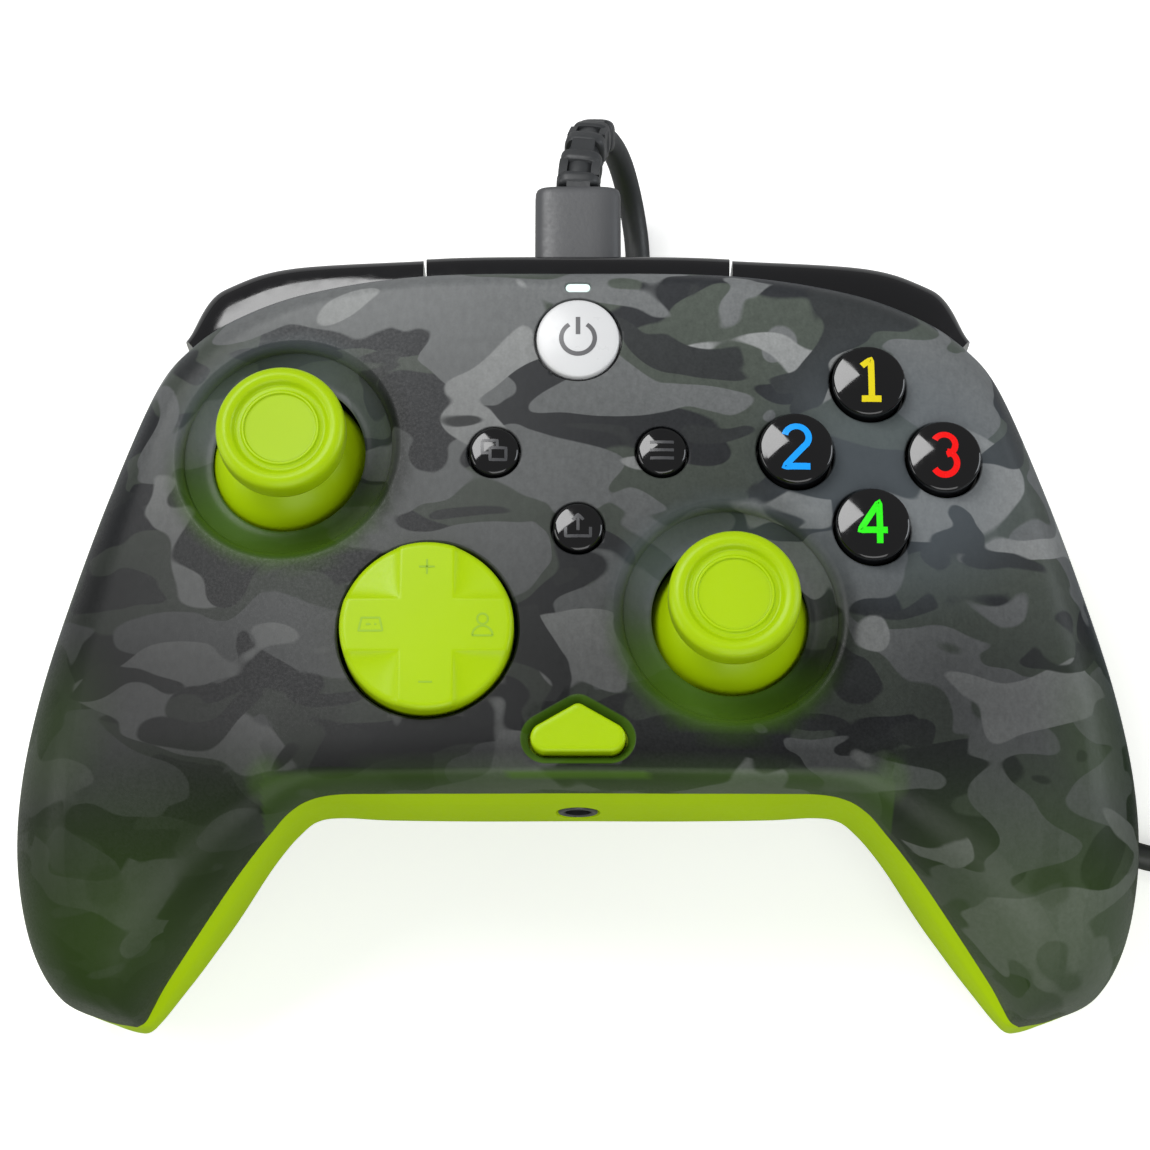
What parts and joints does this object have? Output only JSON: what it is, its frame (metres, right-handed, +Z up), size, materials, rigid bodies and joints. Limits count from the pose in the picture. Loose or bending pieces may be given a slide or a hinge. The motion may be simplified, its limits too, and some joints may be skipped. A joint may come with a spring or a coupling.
{
  "type": "wired gamepad controller",
  "caption": "Two-grip wired gamepad with tilting thumbsticks, a rocking direction pad, face buttons, shoulder bumpers, triggers and a detachable USB-C lead.",
  "frame": {"origin": "middle of the bounding box of the controller without its lead, on the surface that it rests on", "axes": "+X to the player's right, +Y away from the player toward the lead, +Z up out of the face"},
  "size_m": [0.2298, 0.1353, 0.0547],
  "materials": {
    "smoke_plastic": "satin translucent",
    "lime_plastic": "satin",
    "black_gloss": "gloss",
    "dark_plastic": "satin",
    "pale_plastic": "satin",
    "grey_rubber": "matte",
    "cord_rubber": "matte",
    "board": "satin",
    "steel": "satin"
  },
  "bodies": {
    "housing": {"front_shell": "smoke_plastic", "back_shell": "lime_plastic", "centre_bar": "black_gloss", "light_pipe": "pale_plastic", "main_board": "board", "left_stick_module": "steel", "right_stick_module": "steel", "face_button_membrane": "grey_rubber", "dpad_membrane": "grey_rubber", "centre_button_membrane": "grey_rubber", "dpad_carrier": "dark_plastic", "usb_c_receptacle": "steel", "headset_jack": "dark_plastic", "bumper_switches": "dark_plastic", "left_rumble_motor": "steel", "right_rumble_motor": "steel", "left_trigger_pin": "steel", "right_trigger_pin": "steel", "left_trigger_spring": "steel", "right_trigger_spring": "steel", "shell_screws": "steel", "board_screws": "steel"},
    "left_stick_yoke": {"left_stick_yoke": "pale_plastic"},
    "left_stick_arch": {"left_stick_arch": "pale_plastic"},
    "left_stick_shaft": {"left_stick_shaft": "dark_plastic"},
    "left_stick_cap": {"left_stick_cap": "lime_plastic"},
    "right_stick_yoke": {"right_stick_yoke": "pale_plastic"},
    "right_stick_arch": {"right_stick_arch": "pale_plastic"},
    "right_stick_shaft": {"right_stick_shaft": "dark_plastic"},
    "right_stick_cap": {"right_stick_cap": "lime_plastic"},
    "left_trigger": {"left_trigger": "dark_plastic"},
    "left_bumper": {"left_bumper": "black_gloss"},
    "left_rumble_weight": {"left_rumble_weight": "steel"},
    "right_trigger": {"right_trigger": "dark_plastic"},
    "right_bumper": {"right_bumper": "black_gloss"},
    "right_rumble_weight": {"right_rumble_weight": "steel"},
    "face_button_north": {"face_button_north": "black_gloss"},
    "face_button_west": {"face_button_west": "black_gloss"},
    "face_button_east": {"face_button_east": "black_gloss"},
    "face_button_south": {"face_button_south": "black_gloss"},
    "home_button": {"home_button": "pale_plastic"},
    "view_button": {"view_button": "black_gloss"},
    "menu_button": {"menu_button": "black_gloss"},
    "share_button": {"share_button": "black_gloss"},
    "function_button": {"function_button": "lime_plastic"},
    "dpad_rocker": {"dpad_rocker": "dark_plastic"},
    "dpad_cap": {"dpad_cap": "lime_plastic"},
    "cable": {"usb_c_plug": "cord_rubber", "usb_c_shell": "steel", "cable_boot": "cord_rubber", "cable_run": "cord_rubber", "cable_coil": "cord_rubber", "cable_tie": "dark_plastic", "cable_tail": "cord_rubber", "usb_a_plug": "cord_rubber", "usb_a_shell": "steel", "usb_a_tongue": "dark_plastic"}
  },
  "joints": [
    {"name": "left_stick_pitch", "type": "hinge", "parent": "housing", "child": "left_stick_yoke", "pos_m": [-0.04, 0.023, 0.0323], "axis": [1, 0, 0], "range_deg": [-17, 17], "stiffness_Nm_per_rad": 0.02},
    {"name": "left_stick_roll", "type": "hinge", "parent": "left_stick_yoke", "child": "left_stick_shaft", "pos_m": [-0.04, 0.023, 0.0323], "axis": [0, 1, 0], "range_deg": [-17, 17], "stiffness_Nm_per_rad": 0.02},
    {"name": "left_stick_click", "type": "slide", "parent": "left_stick_shaft", "child": "left_stick_cap", "axis": [0, 0, -1], "range_m": [0, 0.0005], "stiffness_N_per_m": 2000, "springref_m": -0.0005},
    {"name": "left_stick_arch_turn", "type": "hinge", "parent": "housing", "child": "left_stick_arch", "pos_m": [-0.04, 0.023, 0.0323], "axis": [0, 1, 0], "range_deg": [-17.5, 17.5]},
    {"name": "right_stick_pitch", "type": "hinge", "parent": "housing", "child": "right_stick_yoke", "pos_m": [0.0206, -0.0009, 0.03465], "axis": [1, 0, 0], "range_deg": [-17, 17], "stiffness_Nm_per_rad": 0.02},
    {"name": "right_stick_roll", "type": "hinge", "parent": "right_stick_yoke", "child": "right_stick_shaft", "pos_m": [0.0206, -0.0009, 0.03465], "axis": [0, 1, 0], "range_deg": [-17, 17], "stiffness_Nm_per_rad": 0.02},
    {"name": "right_stick_click", "type": "slide", "parent": "right_stick_shaft", "child": "right_stick_cap", "axis": [0, 0, -1], "range_m": [0, 0.0005], "stiffness_N_per_m": 2000, "springref_m": -0.0005},
    {"name": "right_stick_arch_turn", "type": "hinge", "parent": "housing", "child": "right_stick_arch", "pos_m": [0.0206, -0.0009, 0.03465], "axis": [0, 1, 0], "range_deg": [-17.5, 17.5]},
    {"name": "left_trigger_pull", "type": "hinge", "parent": "housing", "child": "left_trigger", "pos_m": [-0.0395, 0.0365, 0.0196], "axis": [-1, 0, 0], "range_deg": [0, 16], "stiffness_Nm_per_rad": 0.04, "springref_deg": -14.32},
    {"name": "left_bumper_press", "type": "hinge", "parent": "housing", "child": "left_bumper", "pos_m": [-0.0265, 0.044, 0.0337], "axis": [0, 0, 1], "range_deg": [0, 2], "stiffness_Nm_per_rad": 0.6, "springref_deg": -1.72},
    {"name": "left_rumble_spin", "type": "hinge", "parent": "housing", "child": "left_rumble_weight", "pos_m": [-0.061, -0.013, 0.027], "axis": [0, 1, 0], "continuous": true},
    {"name": "right_trigger_pull", "type": "hinge", "parent": "housing", "child": "right_trigger", "pos_m": [0.0395, 0.0365, 0.0196], "axis": [-1, 0, 0], "range_deg": [0, 16], "stiffness_Nm_per_rad": 0.04, "springref_deg": -14.32},
    {"name": "right_bumper_press", "type": "hinge", "parent": "housing", "child": "right_bumper", "pos_m": [0.0265, 0.044, 0.0337], "axis": [0, 0, -1], "range_deg": [0, 2], "stiffness_Nm_per_rad": 0.6, "springref_deg": -1.72},
    {"name": "right_rumble_spin", "type": "hinge", "parent": "housing", "child": "right_rumble_weight", "pos_m": [0.061, -0.013, 0.027], "axis": [0, 1, 0], "continuous": true},
    {"name": "face_button_north_press", "type": "slide", "parent": "housing", "child": "face_button_north", "axis": [0, 0, -1], "range_m": [0, 0.0013], "stiffness_N_per_m": 400, "springref_m": -0.0005},
    {"name": "face_button_west_press", "type": "slide", "parent": "housing", "child": "face_button_west", "axis": [0, 0, -1], "range_m": [0, 0.0013], "stiffness_N_per_m": 400, "springref_m": -0.0005},
    {"name": "face_button_east_press", "type": "slide", "parent": "housing", "child": "face_button_east", "axis": [0, 0, -1], "range_m": [0, 0.0013], "stiffness_N_per_m": 400, "springref_m": -0.0005},
    {"name": "face_button_south_press", "type": "slide", "parent": "housing", "child": "face_button_south", "axis": [0, 0, -1], "range_m": [0, 0.0013], "stiffness_N_per_m": 400, "springref_m": -0.0005},
    {"name": "home_button_press", "type": "slide", "parent": "housing", "child": "home_button", "axis": [0, 0, -1], "range_m": [0, 0.0006], "stiffness_N_per_m": 600, "springref_m": -0.0005},
    {"name": "view_button_press", "type": "slide", "parent": "housing", "child": "view_button", "axis": [0, 0, -1], "range_m": [0, 0.0006], "stiffness_N_per_m": 600, "springref_m": -0.0005},
    {"name": "menu_button_press", "type": "slide", "parent": "housing", "child": "menu_button", "axis": [0, 0, -1], "range_m": [0, 0.0006], "stiffness_N_per_m": 600, "springref_m": -0.0005},
    {"name": "share_button_press", "type": "slide", "parent": "housing", "child": "share_button", "axis": [0, 0, -1], "range_m": [0, 0.0006], "stiffness_N_per_m": 600, "springref_m": -0.0005},
    {"name": "function_button_press", "type": "slide", "parent": "housing", "child": "function_button", "axis": [0, 0, -1], "range_m": [0, 0.0006], "stiffness_N_per_m": 600, "springref_m": -0.0005},
    {"name": "dpad_pitch", "type": "hinge", "parent": "housing", "child": "dpad_rocker", "pos_m": [-0.0202, -0.0033, 0.04218], "axis": [1, 0, 0], "range_deg": [-4, 4], "stiffness_Nm_per_rad": 0.05},
    {"name": "dpad_roll", "type": "hinge", "parent": "dpad_rocker", "child": "dpad_cap", "pos_m": [-0.0202, -0.0033, 0.04218], "axis": [0, 1, 0], "range_deg": [-4, 4], "stiffness_Nm_per_rad": 0.05},
    {"name": "cable_unplug", "type": "slide", "parent": "housing", "child": "cable", "axis": [0, 1, 0], "range_m": [0, 0.012]}
  ],
  "couplings": [
    {"joint": "left_stick_arch_turn", "follows": "left_stick_roll", "ratio": 1},
    {"joint": "right_stick_arch_turn", "follows": "right_stick_roll", "ratio": 1}
  ]
}
